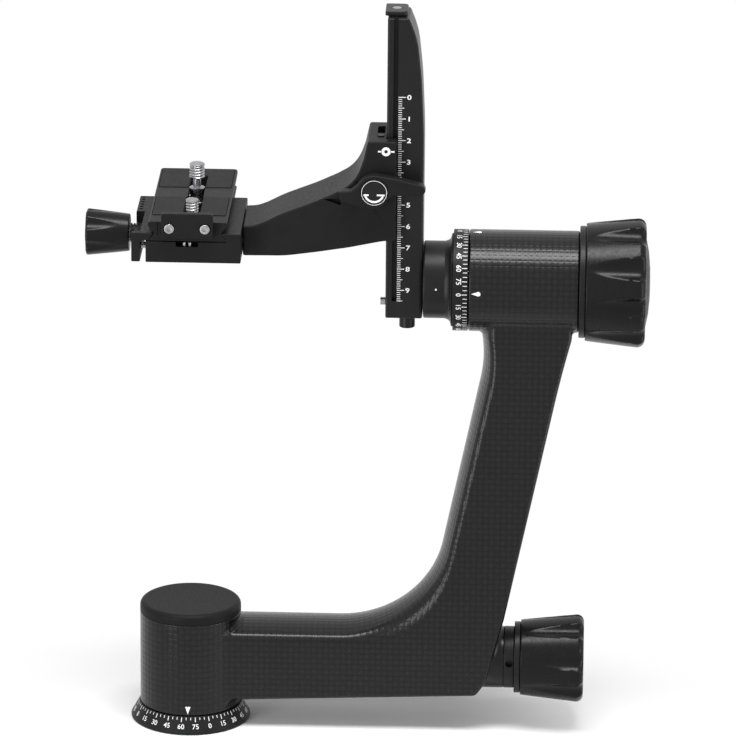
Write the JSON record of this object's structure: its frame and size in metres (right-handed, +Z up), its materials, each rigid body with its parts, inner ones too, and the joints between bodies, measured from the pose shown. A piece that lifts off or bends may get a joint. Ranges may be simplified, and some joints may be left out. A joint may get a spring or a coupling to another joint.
{
  "type": "gimbal head",
  "caption": "Side-mount gimbal head: round pan base, L-shaped carbon arm, tilting swing rail, and a sliding offset platform with a dovetail clamp and quick-release plate.",
  "frame": {"origin": "on the pan axis at the underside of the base, where the base bears on the tripod", "axes": "+Z up along the pan axis, +X from the pan axis towards the lock knobs, +Y from the front of the plate to its back"},
  "size_m": [0.2542, 0.0897, 0.3387],
  "materials": {
    "black_alloy": "black anodised, satin",
    "carbon": "moulded carbon fibre, fine plain weave, satin",
    "steel": "turned",
    "alloy": "turned",
    "brass": "turned",
    "knob_rubber": "moulded, satin",
    "pad_rubber": "matt"
  },
  "bodies": {
    "base": {"base_plate": "black_alloy", "pan_spindle": "steel", "pan_nut": "steel", "base_screw_1": "steel", "base_screw_2": "steel"},
    "pan_arm": {"arm_body": "carbon", "hub_sleeve": "alloy", "pan_bearing_lower": "steel", "pan_bearing_upper": "steel", "hub_cap": "black_alloy", "pan_neck_bush": "black_alloy", "barrel_sleeve": "alloy", "tilt_bearing_left": "steel", "tilt_bearing_right": "steel"},
    "pan_lock": {"pan_lock_shoe": "brass", "pan_lock_rod": "steel"},
    "pan_knob_turn": {"pan_knob": "knob_rubber", "pan_knob_collar": "black_alloy"},
    "swing_arm": {"tilt_flange": "black_alloy", "tilt_dial": "black_alloy", "tilt_spindle": "steel", "swing_rail": "black_alloy", "rail_bolt_1": "steel", "rail_bolt_2": "steel", "rail_top_stop": "black_alloy", "rail_top_screw": "steel", "rail_stop_screw": "steel", "rail_bottom_stud": "black_alloy"},
    "tilt_lock": {"tilt_friction_disc": "brass"},
    "tilt_knob_turn": {"tilt_knob": "knob_rubber", "tilt_knob_collar": "black_alloy", "tilt_knob_nut": "brass", "tilt_knob_cap": "black_alloy"},
    "carriage": {"platform_arm": "black_alloy", "carriage_pin": "steel", "clamp_body": "black_alloy", "clamp_bolt_1": "steel", "clamp_bolt_2": "steel", "safety_pin_1": "steel", "safety_pin_2": "steel"},
    "gib": {"rail_gib": "brass"},
    "lever": {"lock_lever": "black_alloy", "lever_cap": "black_alloy", "lever_shaft": "steel"},
    "jaw": {"moving_jaw": "black_alloy", "jaw_pin_1": "steel", "jaw_pin_2": "steel"},
    "clamp_knob_turn": {"clamp_knob": "knob_rubber", "clamp_screw": "steel", "clamp_neck_bush": "steel"},
    "plate": {"quick_release_plate": "black_alloy", "plate_pad_front": "pad_rubber", "plate_pad_rear": "pad_rubber", "front_bracket": "black_alloy", "bracket_screw_1": "steel", "bracket_screw_2": "steel"},
    "front_washer": {"screw_washer_front": "steel"},
    "front_screw_turn": {"camera_screw_front": "steel"},
    "rear_washer": {"screw_washer_rear": "steel"},
    "rear_screw_turn": {"camera_screw_rear": "steel"}
  },
  "joints": [
    {"name": "pan", "type": "hinge", "parent": "base", "child": "pan_arm", "pos_m": [0, 0, 0], "axis": [0, 0, 1], "continuous": true},
    {"name": "pan_lock_travel", "type": "slide", "parent": "pan_arm", "child": "pan_lock", "axis": [1, 0, 0], "range_m": [0, 0.00125]},
    {"name": "pan_lock_turn", "type": "hinge", "parent": "pan_lock", "child": "pan_knob_turn", "pos_m": [0.1519, 0, 0.0312], "axis": [1, 0, 0], "range_deg": [0, 360]},
    {"name": "tilt", "type": "hinge", "parent": "pan_arm", "child": "swing_arm", "pos_m": [0.1055, 0, 0.2125], "axis": [1, 0, 0], "continuous": true},
    {"name": "tilt_lock_travel", "type": "slide", "parent": "pan_arm", "child": "tilt_lock", "axis": [1, 0, 0], "range_m": [0, 0.00125]},
    {"name": "tilt_lock_turn", "type": "hinge", "parent": "tilt_lock", "child": "tilt_knob_turn", "pos_m": [0.1785, 0, 0.2125], "axis": [1, 0, 0], "range_deg": [0, 360]},
    {"name": "carriage_slide", "type": "slide", "parent": "swing_arm", "child": "carriage", "axis": [0, 0, 1], "range_m": [-0.029, 0.054]},
    {"name": "platform_lock_turn", "type": "hinge", "parent": "carriage", "child": "lever", "pos_m": [0.08355, 0, 0.2596], "axis": [0, -1, 0], "range_deg": [0, 70]},
    {"name": "gib_travel", "type": "slide", "parent": "carriage", "child": "gib", "axis": [-1, 0, 0], "range_m": [0, 0.00025]},
    {"name": "jaw_travel", "type": "slide", "parent": "carriage", "child": "jaw", "axis": [-1, 0, 0], "range_m": [0, 0.004]},
    {"name": "clamp_turn", "type": "hinge", "parent": "jaw", "child": "clamp_knob_turn", "pos_m": [-0.0271, 0, 0.2321], "axis": [-1, 0, 0], "range_deg": [0, 960]},
    {"name": "plate_slide", "type": "slide", "parent": "carriage", "child": "plate", "axis": [0, 1, 0], "range_m": [-0.02, 0.02]},
    {"name": "front_screw_slide", "type": "slide", "parent": "plate", "child": "front_washer", "axis": [0, 1, 0], "range_m": [0, 0.01]},
    {"name": "front_screw_turn", "type": "hinge", "parent": "front_washer", "child": "front_screw_turn", "pos_m": [0.0017, -0.0106, 0.2375], "axis": [0, 0, 1], "continuous": true},
    {"name": "rear_screw_slide", "type": "slide", "parent": "plate", "child": "rear_washer", "axis": [0, 1, 0], "range_m": [-0.01, 0.013]},
    {"name": "rear_screw_turn", "type": "hinge", "parent": "rear_washer", "child": "rear_screw_turn", "pos_m": [0.0017, 0.0238, 0.2375], "axis": [0, 0, 1], "continuous": true}
  ],
  "couplings": [
    {"joint": "pan_lock_turn", "follows": "pan_lock_travel", "rad_per_m": 5026},
    {"joint": "tilt_lock_turn", "follows": "tilt_lock_travel", "rad_per_m": 5026},
    {"joint": "platform_lock_turn", "follows": "gib_travel", "rad_per_m": 4886},
    {"joint": "clamp_turn", "follows": "jaw_travel", "rad_per_m": 4188}
  ]
}
